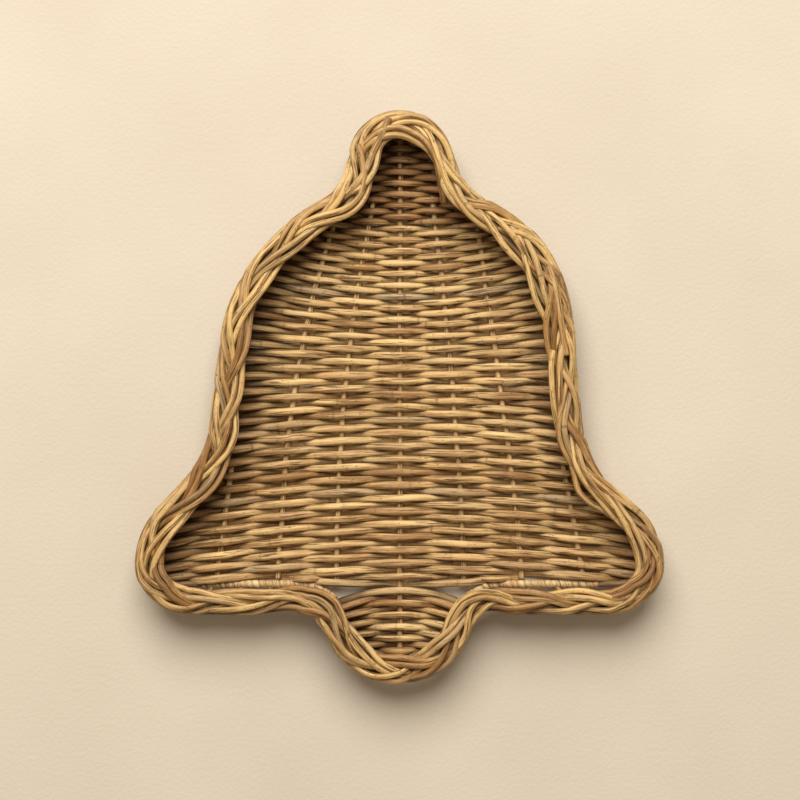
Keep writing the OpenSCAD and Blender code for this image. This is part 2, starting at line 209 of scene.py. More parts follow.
# ---- Small tools: noise along a rod, and a mesh that grows rod by rod ----
def wave_noise(rng, s, size, spans):
    """Smooth noise along a length s: a few sines with random phases, of about the given size."""
    total = np.zeros_like(s, dtype=float)
    for span in spans:
        total += np.sin(2 * math.pi * s / (span * rng.uniform(0.8, 1.25)) + rng.uniform(0, 6.28))
    return total * size / math.sqrt(len(spans))


def path_length(path):
    return np.concatenate([[0], np.cumsum(np.linalg.norm(np.diff(path, axis=0), axis=1))])


class Piece:
    """Collects swept rods and becomes one object."""

    def __init__(self, name):
        self.name = name
        self.verts, self.faces, self.grain, self.tone, self.open = [], [], [], [], []
        self.count = 0

    def add(self, verts, faces, grain, tone):
        self.verts.append(verts)
        self.faces += [tuple(int(i) + self.count for i in f) for f in faces]
        self.grain.append(grain)
        self.tone.append(tone)
        self.open.append(np.ones(len(verts)))
        self.count += len(verts)

    def darken(self, height, low, high):
        """Paints shade on the last rod where its points lie low in the weave: from low up to high."""
        self.open[-1] = np.clip((height - low) / (high - low), 0, 1)

    def build(self, material, slot, *nodes):
        mesh = bpy.data.meshes.new(self.name)
        verts = np.vstack(self.verts)
        verts[:, 0] = lean_of_hand(verts)
        verts = np.clip(verts, BOX_LOW + BOX_MARGIN, BOX_HIGH - BOX_MARGIN)
        mesh.from_pydata((verts * MM).tolist(), [], self.faces)
        grain = mesh.attributes.new("grain", "FLOAT_VECTOR", "POINT")
        grain.data.foreach_set("vector", np.vstack(self.grain).astype(np.float32).ravel())
        tone = mesh.attributes.new("tone", "FLOAT_COLOR", "POINT")
        tone.data.foreach_set("color", np.vstack(self.tone).astype(np.float32).ravel())
        openness = mesh.attributes.new("open", "FLOAT", "POINT")
        openness.data.foreach_set("value", np.concatenate(self.open).astype(np.float32))
        mesh.polygons.foreach_set("use_smooth", [True] * len(mesh.polygons))
        mesh.materials.append(material)
        obj = bpy.data.objects.new(self.name, mesh)
        bpy.context.scene.collection.objects.link(obj)
        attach(obj, "root")
        if nodes:
            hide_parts(*nodes)
        return obj


# A cut end keeps this share of the rod's width and reaches the full width over this length.
CUT_SHARE, CUT_LEN = 0.86, 0.6


def unit(v):
    return v / np.linalg.norm(v, axis=-1, keepdims=True)


def sweep(piece, path, ref, wide, high, tone, rng, closed=False, sides=12):
    """A rod along a path: its section is wide across towards ref and high the other way."""
    n = len(path)
    s = path_length(path)
    if closed:
        tangent = unit(np.roll(path, -1, 0) - np.roll(path, 1, 0))
    else:
        tangent = unit(np.gradient(path, axis=0))
    ref = np.broadcast_to(np.asarray(ref, float), path.shape)
    lat = unit(ref - (ref * tangent).sum(1)[:, None] * tangent)
    nor = np.cross(tangent, lat)
    wide = np.broadcast_to(wide, n)
    high = np.broadcast_to(high, n)
    # A cut end is drawn in a little.
    if not closed:
        draw = np.minimum(1, CUT_SHARE + (1 - CUT_SHARE) * np.minimum(s, s[-1] - s) / CUT_LEN)
        wide, high = wide * draw, high * draw
    angle = 2 * math.pi * np.arange(sides) / sides
    ring = (lat[:, None, :] * (wide[:, None] * np.cos(angle))[..., None]
            + nor[:, None, :] * (high[:, None] * np.sin(angle))[..., None])
    verts = (path[:, None, :] + ring).reshape(-1, 3)
    start = rng.uniform(0, 4000)
    # A closed rod's grain runs out and back, so that it has no seam.
    along = start + (np.minimum(s, s[-1] - s) if closed else s)
    grain = np.empty((n, sides, 3))
    grain[..., 0] = along[:, None]
    grain[..., 1] = wide[:, None] * np.cos(angle)
    grain[..., 2] = high[:, None] * np.sin(angle)
    i = np.arange(n if closed else n - 1)
    k = np.arange(sides)
    a = (i[:, None] * sides + k).ravel()
    b = (i[:, None] * sides + (k + 1) % sides).ravel()
    up = (((i + 1) % n)[:, None] * sides + k).ravel()
    up2 = (((i + 1) % n)[:, None] * sides + (k + 1) % sides).ravel()
    faces = np.column_stack([a, b, up2, up]).tolist()
    if not closed:
        faces.append(list(range(sides - 1, -1, -1)))
        faces.append([(n - 1) * sides + j for j in range(sides)])
    tone = np.broadcast_to(np.asarray(tone, float).reshape(-1, 4), (n, 4))
    piece.add(verts, faces, grain.reshape(-1, 3), np.repeat(tone, sides, axis=0))


def rod_tone(rng, s, light=0.0, spread=0.22):
    """Tone of a rod along its length: lightness, greyness, redness and dark growth marks."""
    n = len(s)
    tone = np.zeros((n, 4))
    tone[:, 0] = 0.5 + light + rng.normal(0, spread) + wave_noise(rng, s, 0.07, (60, 23))
    tone[:, 0] += wave_noise(rng, s, 0.16, (430, 170))
    grey = max(0, rng.normal(-0.15, 0.35))
    tone[:, 1] = np.clip(grey + wave_noise(rng, s, 0.16, (330, 90)), 0, 1)
    red = max(0, rng.normal(-0.05, 0.3))
    tone[:, 2] = np.clip(red + wave_noise(rng, s, 0.15, (260, 70)), 0, 1)
    mark = rng.uniform(20, 150)
    while mark < s[-1]:
        tone[:, 3] += rng.uniform(0.3, 0.9) * np.exp(-((s - mark) / 0.7) ** 2)
        mark += rng.uniform(70, 190)
    return tone


# ---- Materials ----
def new_material(name):
    material = bpy.data.materials.new(name)
    material.use_nodes = True
    tree = material.node_tree
    return material, tree, tree.nodes["Principled BSDF"]


def link(tree, a, b):
    tree.links.new(a, b)


def math_node(tree, operation, a, b, clamp=False):
    node = tree.nodes.new("ShaderNodeMath")
    node.operation = operation
    node.use_clamp = clamp
    for socket, value in zip(node.inputs, (a, b)):
        if isinstance(value, (int, float)):
            socket.default_value = value
        else:
            link(tree, value, socket)
    return node.outputs[0]


def mix_colour(tree, factor, a, b, blend="MIX"):
    node = tree.nodes.new("ShaderNodeMix")
    node.data_type = "RGBA"
    node.blend_type = blend
    for socket, value in zip((node.inputs[0], node.inputs[6], node.inputs[7]), (factor, a, b)):
        if isinstance(value, (int, float)):
            socket.default_value = value
        elif isinstance(value, tuple):
            socket.default_value = (*value, 1)
        else:
            link(tree, value, socket)
    return node.outputs[2]


def stretched_noise(tree, source, along, across, detail=3.0, rough=0.55):
    """Noise drawn out along the rod; along and across are its scales per mm."""
    scale = tree.nodes.new("ShaderNodeVectorMath")
    scale.operation = "MULTIPLY"
    scale.inputs[1].default_value = (along, across, across)
    link(tree, source, scale.inputs[0])
    noise = tree.nodes.new("ShaderNodeTexNoise")
    noise.inputs["Scale"].default_value = 1.0
    noise.inputs["Detail"].default_value = detail
    noise.inputs["Roughness"].default_value = rough
    link(tree, scale.outputs[0], noise.inputs["Vector"])
    return noise.outputs[0]


def remap(tree, value, low, high, to_low=0.0, to_high=1.0):
    node = tree.nodes.new("ShaderNodeMapRange")
    for socket, number in zip(node.inputs[1:5], (low, high, to_low, to_high)):
        socket.default_value = number
    link(tree, value, node.inputs[0])
    return node.outputs[0]


def attribute(tree, name):
    node = tree.nodes.new("ShaderNodeAttribute")
    node.attribute_name = name
    return node


# The last colour on the next line is a painted shade, for the weave's crevices and the shadows of the wall
# and the rim.
GREYED, REDDENED, PAINTED_SHADE = (0.36, 0.27, 0.165), (0.50, 0.235, 0.08), (0.05, 0.02, 0.005)
CRACK, SPECK, GROWTH_MARK_AND_LAP_SHADE = (0.13, 0.062, 0.022), (0.10, 0.045, 0.016), (0.12, 0.058, 0.022)
RED_SHARE, MARK_SHARE, PAINTED_SHADE_SHARE, MARK_DEPTH = 0.7, 0.75, 0.84, -0.6


def rattan(name, dark, light, roughness=0.5):
    """Peeled cane: pale and dark fibres, greyed and reddish stretches, cracks, specks and growth marks,
    and painted shade where the 'open' attribute is low.
    """
    material, tree, shader = new_material(name)
    source = attribute(tree, "grain").outputs["Vector"]
    tone = attribute(tree, "tone")
    split = tree.nodes.new("ShaderNodeSeparateColor")
    link(tree, tone.outputs["Color"], split.inputs[0])
    broad = stretched_noise(tree, source, 0.022, 0.6, 3.0, 0.6)
    fine = stretched_noise(tree, source, 0.07, 1.3, 3.0, 0.65)
    blotch = stretched_noise(tree, source, 0.045, 0.2, 2.0)
    level = math_node(tree, "ADD", split.outputs[0], remap(tree, broad, 0.32, 0.68, -0.42, 0.42))
    level = math_node(tree, "ADD", level, remap(tree, fine, 0.32, 0.68, -0.36, 0.36))
    level = math_node(tree, "ADD", level, remap(tree, blotch, 0.3, 0.7, -0.2, 0.2), clamp=True)
    colour = mix_colour(tree, level, dark, light)
    grey = math_node(tree, "MULTIPLY", split.outputs[1], remap(tree, broad, 0.35, 0.6, 0.3, 0.95), True)
    colour = mix_colour(tree, grey, colour, GREYED)
    red = math_node(tree, "MULTIPLY", split.outputs[2], RED_SHARE, True)
    colour = mix_colour(tree, red, colour, REDDENED)
    crack = remap(tree, stretched_noise(tree, source, 0.045, 0.8, 1.5), 0.57, 0.64, 0.0, 0.85)
    colour = mix_colour(tree, crack, colour, CRACK)
    speck = remap(tree, stretched_noise(tree, source, 0.33, 0.75, 2.0, 0.7), 0.63, 0.7, 0.0, 0.85)
    colour = mix_colour(tree, speck, colour, SPECK)
    # The marks channel holds dark growth marks, and on the peel the painted shade at each turn's lap.
    mark = math_node(tree, "MULTIPLY", tone.outputs["Alpha"], MARK_SHARE, True)
    colour = mix_colour(tree, mark, colour, GROWTH_MARK_AND_LAP_SHADE)
    # Painted shade: the colour goes dark where the 'open' attribute is low.
    openness = attribute(tree, "open").outputs["Fac"]
    shade_amount = remap(tree, openness, 0.0, 1.0, PAINTED_SHADE_SHARE, 0.0)
    colour = mix_colour(tree, shade_amount, colour, PAINTED_SHADE)
    link(tree, colour, shader.inputs["Base Color"])
    link(tree, remap(tree, fine, 0.3, 0.7, roughness - 0.1, roughness + 0.14), shader.inputs["Roughness"])
    shader.inputs["IOR"].default_value = 1.45
    shader.inputs["Specular IOR Level"].default_value = 0.38
    height = math_node(tree, "ADD", math_node(tree, "ADD", fine, broad),
                       math_node(tree, "MULTIPLY", tone.outputs["Alpha"], MARK_DEPTH))
    bump = tree.nodes.new("ShaderNodeBump")
    bump.inputs["Strength"].default_value = 0.55
    bump.inputs["Distance"].default_value = 0.0005
    link(tree, height, bump.inputs["Height"])
    link(tree, bump.outputs[0], shader.inputs["Normal"])
    return material


def backdrop():
    material, tree, shader = new_material("pale_floor")
    place = tree.nodes.new("ShaderNodeTexCoord")
    noise = tree.nodes.new("ShaderNodeTexNoise")
    noise.inputs["Scale"].default_value = 7.0
    noise.inputs["Detail"].default_value = 7.0
    link(tree, place.outputs["Object"], noise.inputs["Vector"])
    fine = tree.nodes.new("ShaderNodeTexNoise")
    fine.inputs["Scale"].default_value = 330.0
    link(tree, place.outputs["Object"], fine.inputs["Vector"])
    tint = mix_colour(tree, remap(tree, noise.outputs[0], 0.3, 0.7),
                      (0.71, 0.617, 0.485), (0.76, 0.668, 0.53))
    link(tree, tint, shader.inputs["Base Color"])
    shader.inputs["Roughness"].default_value = 0.85
    bump = tree.nodes.new("ShaderNodeBump")
    bump.inputs["Strength"].default_value = 0.5
    bump.inputs["Distance"].default_value = 0.0006
    link(tree, fine.outputs[0], bump.inputs["Height"])
    link(tree, bump.outputs[0], shader.inputs["Normal"])
    return material


weaver_cane = rattan("weaver_cane", (0.35, 0.175, 0.056), (0.90, 0.61, 0.26))
rib_cane = rattan("rib_cane", (0.40, 0.225, 0.08), (0.84, 0.57, 0.26))
plait_cane = rattan("plait_cane", (0.28, 0.13, 0.036), (0.80, 0.53, 0.205), roughness=0.42)
wall_cane = rattan("wall_cane", (0.20, 0.10, 0.035), (0.52, 0.34, 0.145))
peel_cane = rattan("peel_cane", (0.55, 0.33, 0.12), (0.88, 0.64, 0.32), roughness=0.38)

# ---- Ribs ----
# Each curved rib is an arc through three points.
RIB_POINTS = [
    ((22, 154), (40, 20), (49, -140)),
    ((55, 134), (80, 0), (94, -140)),
    ((127, -49), (134, -93), (141, -140)),
]


def circle_through(a, b, c):
    """Centre and radius of the circle through three points."""
    a, b, c = (np.array(p, float) for p in (a, b, c))
    u, v, m, n = b - a, c - b, (a + b) / 2, (b + c) / 2
    det = u[0] * v[1] - u[1] * v[0]
    centre = np.array([(m @ u) * v[1] - (n @ v) * u[1], (n @ v) * u[0] - (m @ u) * v[0]]) / det
    return centre, np.linalg.norm(a - centre)


RIB_CIRCLES = [circle_through(*p) for p in RIB_POINTS]


def rib_x(i, y):
    centre, radius = RIB_CIRCLES[i]
    return centre[0] + np.sqrt(radius ** 2 - (y - centre[1]) ** 2)


def build_ribs():
    names = [("rib_centre", None, 0)]
    for i, where in enumerate(("inner", "middle", "outer")):
        names += [(f"rib_left_{where}", i, -1), (f"rib_right_{where}", i, 1)]
    for number, (node, i, side) in enumerate(names):
        rng = np.random.default_rng([SEED, 100 + number])
        low, high = box_mm(node)
        y = np.arange(high[1], low[1], -1.5)
        x = np.zeros_like(y) if i is None else side * rib_x(i, y)
        x = x + wave_noise(rng, y, 0.25, (60, 27))
        path = np.column_stack([x, y, np.full_like(y, MID_Z)])
        s = path_length(path)
        r = RIB_R + wave_noise(rng, s, 0.07, (45, 19))
        piece = Piece(node + "_rod")
        sweep(piece, path, (0, 0, 1), r, r, rod_tone(rng, s, 0.15, 0.12), rng)
        piece.build(rib_cane, "rattan_ribs", node)


# ---- Floor weavers ----
def smoothstep(low, high, x):
    k = min(1.0, max(0.0, (x - low) / (high - low)))
    return k * k * (3 - 2 * k)


# How much the rows bend, per mm, and how much the lower ones slope, with the heights on the tray
# between which each of these sets in or fades out.
ROW_ARCH, ROW_SAG, CROWN_ARCH, ROW_TILT = 4.3e-4, 16.5e-4, 16e-4, 0.008
ARCH_EASE, ARCH_EASES = 0.3, (-110, -135)
SAG_STARTS, SAG_FADES = (-25, 100), (126, 158)
CROWN_STARTS, TILT_FADES = (150, 165), (0, 60)
# How far the ends of the clapper's first row drop at CLAPPER_EDGE, and how much less in each next row.
CLAPPER_DROP, CLAPPER_DROP_STEP, CLAPPER_EDGE = 9.5, 0.75, 46


def row_rise(y, x):
    """How far a row bends up away from the middle: the rows sag under the neck and arch below it."""
    arch = ROW_ARCH * (1 - ARCH_EASE * smoothstep(*ARCH_EASES, y))
    sag = ROW_SAG * smoothstep(*SAG_STARTS, y)
    fade = 1 - smoothstep(*SAG_FADES, y)
    crown = CROWN_ARCH * smoothstep(*CROWN_STARTS, y)
    tilt = ROW_TILT * (1 - smoothstep(*TILT_FADES, y))
    return (sag * fade - arch * fade - crown) * x ** 2 + tilt * x


def clapper_rise(k, x):
    return -(CLAPPER_DROP - CLAPPER_DROP_STEP * k) * (np.abs(x) / CLAPPER_EDGE) ** 2


CANE_R, CANE_SHARE, RIB_GAP = 2.25, 0.47, 0.12


class Row:
    """One row of the floor: its plan curve, the posts that it passes and the sides that it takes."""

    def __init__(self, y, pitch, side, rise, rng, ribs=True, posts=None):
        self.y, self.side, self.rise, self.rng = y, side, rise, rng
        self.wide = pitch / 2
        self.high = min(CANE_R, pitch * CANE_SHARE)
        self.swing = RIB_R + self.high + RIB_GAP
        self.offset = rng.normal(0, 0.16)
        if posts:
            self.posts, self.edge = posts, posts[-1]
            return
        edge = half_width(y)
        for _ in range(12):
            edge = 0.5 * (edge + half_width(self.plan(edge)))
        self.edge = edge
        self.posts = [0.0]
        for i in range(len(RIB_CIRCLES) if ribs else 0):
            x = float(rib_x(i, y))
            for _ in range(6):
                x = float(rib_x(i, self.plan(x)))
            if self.plan(x) < RIB_POINTS[i][0][1] and edge - x > 2 * self.swing + 1:
                self.posts.append(x)
        self.posts.append(edge)

    def plan(self, x):
        return self.y + float(self.rise(x)) + self.offset

    @property
    def end_side(self):
        return self.side * (-1 if len(self.posts) % 2 == 0 else 1)

    def run(self, reach_left, reach_right, step=1.5):
        """Points from left to right with the height as a share of the swing."""
        x = np.arange(-reach_left, reach_right + step / 2, step)
        y = self.y + self.rise(x) + self.offset + wave_noise(self.rng, x, 0.22, (70, 33))
        a = np.abs(x)
        share = np.full_like(x, float(self.end_side))
        for j in range(len(self.posts) - 1):
            p, q = self.posts[j], self.posts[j + 1]
            inside = (a >= p) & (a <= q)
            over = self.side * (-1) ** j
            share[inside] = over * np.cos(math.pi * (a[inside] - p) / (q - p))
        return x, y, share


def cane_section(row, x, lift, s, rng):
    """Half-width and half-height of a row's cane along its length: widest at a post and at the wall."""
    thick = 1 + rng.normal(0, 0.03) + wave_noise(rng, s, 0.025, (80, 30))
    crowd = np.interp(np.abs(x), [row.posts[-2], row.edge], [0, 0.12])
    wide = row.wide * (1.15 + crowd + 0.01 * np.abs(lift)) * thick
    return wide, np.minimum(row.high * thick, row.high)


# Painted shadow that the wall casts on the floor, on the left and on the right: mm and the span that it
# fades over.
LEFT_WALL_SHADOW, RIGHT_WALL_SHADOW = (2.7, 17), (1.1, 10)
# Painted shadow of the crown's rim on the top rows.
CROWN_RIM_SHADOW = 0.5


def near_wall(x, gap, left, right):
    """An amount that fades away from the wall, with its own size and span at the left and the right."""
    return np.where(x < 0, left[0] * np.exp(-gap / left[1]), right[0] * np.exp(-gap / right[1]))


def floor_shade(piece):
    """Painted shade on the canes along their flanks, most of all in the middle layer, and painted shadow
    at the wall and under the crown's rim.
    """
    x, y, z = piece.verts[-1].T
    gap = np.maximum(half_width(y) - np.abs(x), 0)
    wall = near_wall(x, gap, LEFT_WALL_SHADOW, RIGHT_WALL_SHADOW) + CROWN_RIM_SHADOW * np.clip((y - 110) / 40, 0, 1)
    crest = np.abs(piece.grain[-1][:, 2])
    piece.darken(crest + 0.4 * np.abs(z - MID_Z) - wall, 0.6, 2.9)


# A weaver's end stands this far past the edge, and its turns clear the frame rod by this much.
OVERHANG, TURN_GAP = 3.5, 0.3
# Canes under the crown's rim are painted darker for its shadow and redder for the light that the rim
# bounces onto them, and those across the shoulders are made paler.
CROWN_SHADE_FROM, CROWN_SHADE_TO, CROWN_SHADE_DARK, CROWN_BOUNCE_RED = 95, 165, 0.42, 0.5
PALER_SHOULDERS = (75, 50, 0.32)
# Shading of the canes near the wall, on the left and on the right: tone and the span that it fades over.
LEFT_SHADE, RIGHT_SHADE = (0.5, 26), (0.25, 14)


def build_weaver(name, node, rows, number):
    """One long cane that runs out and back over its rows, round the frame rod at each end."""
    rng = np.random.default_rng([SEED, 300 + number])
    points, share, wide, high, tones = [], [], [], [], []
    bends = []
    for a, b in zip(rows, rows[1:]):
        mid = (a.plan(a.edge) + b.plan(b.edge)) / 2
        radius = math.hypot(a.swing + b.swing, a.plan(a.edge) - b.plan(b.edge)) / 2
        clear = half_width(mid) + (FRAME_R + a.high + TURN_GAP) / heading_sin(mid) - radius
        bends.append(max(a.edge, b.edge, clear))
    for i, row in enumerate(rows):
        onward = bends[i] if i < len(rows) - 1 else row.edge + OVERHANG
        back = bends[i - 1] if i else row.edge + OVERHANG
        to_right = i % 2 == 0
        x, y, lift = row.run(back if to_right else onward, onward if to_right else back)
        if not to_right:
            x, y, lift = x[::-1], y[::-1], lift[::-1]
        z = MID_Z + row.swing * lift
        line = np.column_stack([x, y, z])
        s = path_length(line)
        w, h = cane_section(row, x, lift, s, rng)
        # Painted shadow and reddish bounce light under the crown's rim; the shoulders' rows are made
        # paler.
        crown_shade = smoothstep(CROWN_SHADE_FROM, CROWN_SHADE_TO, row.y)
        light = 0.08 - CROWN_SHADE_DARK * crown_shade + float(bell_curve(row.y, *PALER_SHOULDERS))
        tone = rod_tone(rng, s, light) + [0, 0, CROWN_BOUNCE_RED * crown_shade, 0]
        tone[:, 0] -= near_wall(x, row.edge - np.abs(x), LEFT_SHADE, RIGHT_SHADE)
        if i:
            # The half turn from the last row to this one.
            start, end = points[-1][-1], line[0]
            middle, arm = (start + end) / 2, (start - end) / 2
            sign = 1 if start[0] > 0 else -1
            phi = np.linspace(0, math.pi, 14)[1:-1]
            turn = (middle + arm * np.cos(phi)[:, None]
                    + np.outer(np.sin(phi) * np.linalg.norm(arm) * sign, [1, 0, 0]))
            points.append(turn)
            wide.append(np.linspace(wide[-1][-1], w[0], len(phi)))
            high.append(np.linspace(high[-1][-1], h[0], len(phi)))
            tones.append(np.linspace(tones[-1][-1], tone[0], len(phi)))
        points.append(line)
        wide.append(w)
        high.append(h)
        tones.append(tone)
    piece = Piece(name)
    sweep(piece, np.vstack(points), (0, 1, 0), np.concatenate(wide), np.concatenate(high),
          np.vstack(tones), rng)
    floor_shade(piece)
    piece.build(weaver_cane, "rattan_weavers", node)


# The rows in the mouth of the clapper: height, pitch and side, then how far their ends rise, over which
# half-length and to which power, and the posts that they pass.
MOUTH_ROWS = [
    (-137.9, 4.9, 1, (-1.9, 45, 2), [0, 49, 73, 92]),
    (-144.3, 5.0, -1, (2.6, 62, 1.8), [0, 50, 80]),
]


def mouth_rise(x, rise, span, power):
    return rise * np.clip(np.abs(x) / span, 0, 1) ** power


def build_hem_weaver():
    """Two short rows that fill the mouth of the clapper, squeezed together towards their ends."""
    rng = np.random.default_rng([SEED, 350])
    rows = [Row(y, pitch, side, lambda x, bend=bend: mouth_rise(x, *bend), rng, posts=posts)
            for y, pitch, side, bend, posts in MOUTH_ROWS]
    piece = Piece("hem_weaver_canes")
    for row in rows:
        x, y, lift = row.run(row.edge, row.edge)
        path = np.column_stack([x, y, MID_Z + row.swing * lift])
        s = path_length(path)
        wide, high = cane_section(row, x, lift, s, rng)
        sweep(piece, path, (0, 1, 0), wide, high, rod_tone(rng, s), rng)
        floor_shade(piece)
    piece.build(weaver_cane, "rattan_weavers", "hem_weaver")


def share_out(rows):
    """Splits the rows into weavers, as bands of rows that cross the same ribs."""
    ends = [i + 1 for i in range(len(rows) - 1) if len(rows[i].posts) != len(rows[i + 1].posts)]
    edges = [0] + ends + [len(rows)]
    starts = []
    for (first, last), parts in zip(zip(edges, edges[1:]), (3, 7, 1, 2)):
        starts += [first + round((last - first) * k / parts) for k in range(parts)]
    return list(zip(starts, starts[1:] + [len(rows)]))


def build_floor():
    rng = np.random.default_rng([SEED, 200])
    rows = []
    y = FIRST_ROW_Y
    pitches = [BODY_PITCH] * BODY_ROWS + [SHOULDER_PITCH] * SHOULDER_ROWS
    for i, pitch in enumerate(pitches):
        if i:
            y += pitch
        side = -1 if i % 2 == 0 else 1
        rows.append(Row(y, pitch, side, lambda x, y=y: row_rise(y, x), rng))
    # The first and last rows are pushed hard against the hem and the crown.
    rows[0].y -= 0.5
    rows[0].wide += 0.5
    rows[-1].y += 0.7
    rows[-1].wide += 0.5
    for k, (first, last) in enumerate(share_out(rows), start=1):
        build_weaver(f"weaver_{k:02d}_cane", f"weaver_{k:02d}", rows[first:last], k)
    tongue = []
    for k in range(CLAPPER_ROWS):
        side = 1 if k % 2 == 0 else -1
        y = HEM_Y - CLAPPER_PITCH * (k + 1.1)
        tongue.append(Row(y, CLAPPER_PITCH, side, lambda x, k=k: clapper_rise(k, x), rng,
                          ribs=False))
    build_weaver("clapper_weaver_1_cane", "clapper_weaver_1", tongue[:6], 31)
    build_weaver("clapper_weaver_2_cane", "clapper_weaver_2", tongue[6:], 32)


# ---- Frame rod and the peel wound on it ----
def ring_path(inset, z, rng, wander=0.2, step=2.0):
    t = np.arange(0, loop.length, step)
    lap = loop.length / 7
    drift = wave_noise(rng, t, wander, (lap, loop.length / 11, loop.length / 17))
    fade = np.minimum(1, np.minimum(t, loop.length - t) / 30)
    plan, _ = loop.at(t, inset + drift * fade)
    return t, np.column_stack([plan, np.full(len(t), z)])


def build_frame_rod():
    rng = np.random.default_rng([SEED, 400])
    t, path = ring_path(FRAME_INSET, MID_Z, rng, 0.0)
    piece = Piece("frame_rod_cane")
    sweep(piece, path, (0, 0, 1), FRAME_R, FRAME_R, rod_tone(rng, t, -0.1), rng, closed=True)
    piece.build(wall_cane, "rattan_frame", "frame_rod")


PEEL_FROM_CLAPPER, PEEL_PAST_HEM = 77, 12
PEEL_STRIP, PEEL_SIDES = 5.2, 16
# How far the strip lies off the rod at its thin edge, and how much further at its thick one.
PEEL_UNDER, PEEL_STEP = 0.12, 0.62


def hem_span(side):
    """Distances along the loop between which the peel is wound, on one side of the clapper."""
    near = loop.half - PEEL_FROM_CLAPPER
    far = near - HEM_LEN - PEEL_PAST_HEM
    return (far, near) if side > 0 else (loop.length - near, loop.length - far)


def build_peel(side, node):
    """A thin strip wound slantwise: each turn laps a little over the one before."""
    rng = np.random.default_rng([SEED, 420 + side])
    first, last = hem_span(side)
    t = np.arange(first, last, 0.35)
    plan, _ = loop.at(t, np.full(len(t), FRAME_INSET))
    path = np.column_stack([plan, np.full(len(t), MID_Z)])
    tangent = unit(np.gradient(path, axis=0))
    up = np.array([0, 0, 1.0])
    out = np.cross(tangent, up)
    angle = 2 * math.pi * np.arange(PEEL_SIDES) / PEEL_SIDES
    turns = (t[:, None] - first) / PEEL_STRIP + angle / (2 * math.pi)
    within = turns - np.floor(turns)
    number = np.floor(turns).astype(int)
    radius = FRAME_R + PEEL_UNDER + PEEL_STEP * (1 - within) ** 0.6 * (1 - np.exp(-within / 0.05))
    radius = radius + rng.normal(0, 0.05, number.max() + 2)[number]
    verts = path[:, None, :] + radius[..., None] * (out[:, None, :] * np.cos(angle)[:, None]
                                                    + up * np.sin(angle)[:, None])
    n = len(t)
    i, k = np.arange(n - 1), np.arange(PEEL_SIDES)
    a = (i[:, None] * PEEL_SIDES + k).ravel()
    b = (i[:, None] * PEEL_SIDES + (k + 1) % PEEL_SIDES).ravel()
    faces = np.column_stack([a, a + PEEL_SIDES, b + PEEL_SIDES, b]).tolist()
    light = rng.normal(0.55, 0.2, number.max() + 2)[number]
    red = np.clip(rng.normal(0.15, 0.25, number.max() + 2), 0, 1)[number]
    # Painted shade along the step where each turn laps over the one before; it rides in the marks channel
    # of the tone.
    shade = np.exp(-within / 0.06) + 0.5 * np.exp(-(1 - within) / 0.05)
    tone = np.stack([light, light * 0, red, np.clip(shade, 0, 1)], axis=-1)
    around = angle * FRAME_R
    grain = np.stack([np.broadcast_to(around, (n, PEEL_SIDES)) + number * 37.0,
                      within * PEEL_STRIP, np.zeros((n, PEEL_SIDES))], axis=-1)
    piece = Piece(node + "_strip")
    piece.add(verts.reshape(-1, 3), faces, grain.reshape(-1, 3), tone.reshape(-1, 4))
    piece.build(peel_cane, "rattan_peel", node)


# ---- Low wall ----
STAKES = 56
STAKE_INSET, STAKE_R, WALL_ROD_R = 13.5, 1.9, 2.2
WALL_RODS, WALL_GAP = 5, 0.1


def build_wall():
    low, high = box_mm("wall_stakes")
    rng = np.random.default_rng([SEED, 500])
    piece = Piece("wall_stake_canes")
    for i in range(STAKES):
        t = loop.length * (i + 0.5) / STAKES + rng.normal(0, 0.6)
        plan, out = loop.at(np.array([t]), np.array([STAKE_INSET]))
        z = np.linspace(low[2], high[2], 9)
        path = np.column_stack([np.full_like(z, plan[0, 0]), np.full_like(z, plan[0, 1]), z])
        path[:, :2] += out[0] * rng.normal(0, 0.2)
        r = STAKE_R * rng.uniform(0.94, 1.04)
        sweep(piece, path, (1, 0, 0), r, r, rod_tone(rng, z - z[0]), rng)
    piece.build(wall_cane, "rattan_wall", "wall_stakes")
    inset = STAKE_INSET - STAKE_R - WALL_ROD_R - WALL_GAP
    for number in range(1, WALL_RODS + 1):
        node = f"wall_rod_{number}"
        rng = np.random.default_rng([SEED, 510 + number])
        low, high = box_mm(node)
        t, path = ring_path(inset, (low[2] + high[2]) / 2, rng, 0.25)
        r = WALL_ROD_R + 0.08 * np.sin(2 * math.pi * t / loop.length * 9 + number)
        piece = Piece(node + "_cane")
        sweep(piece, path, (0, 0, 1), r, r, rod_tone(rng, t, 0.05), rng, closed=True)
        piece.build(wall_cane, "rattan_wall", node)


# ---- Plait of the rim ----
ROLL_Z = TRAY_TOP - PLAIT_R - PLAIT_LIFT - ROLL_R + 0.2
ROD_TOP = TRAY_TOP - 0.05
# Along the hem the rim is narrower by a share and stands further out; both fade in over a ramp.
HEM_SQUEEZE, HEM_OUT = 0.16, 5.8
HEM_NEAR, HEM_FAR, HEM_RAMP = 75, 116, 20
# Places where the rim is narrower than elsewhere, or wider: distance from the crown, span, and the
# shares by which its inner and its outer half are drawn together.
RIM_DRAWS = [(48, 18, 0.6, 0), (78, 22, 0.25, 0), (165, 34, -0.55, 0), (332, 26, 0.35, 0.3),
             (-62, 30, -0.3, 0)]
# Places where the rim strays outwards at the clapper: distance from the clapper's end, span and mm.
NOTCH_STRAYS = [(-92, 16, -3.5), (72, 12, 2.0), (108, 18, -3.0), (52, 12, -1.5)]


def rolled(s, w):
    """Bends the flat plait over the wall: it lies on a round, with its outer edge rolled down."""
    lean = (s + ROLL_SHIFT) / ROLL_R
    return (ROLL_R + w) * np.sin(lean) - ROLL_CENTRE, ROLL_Z + (ROLL_R + w) * np.cos(lean)


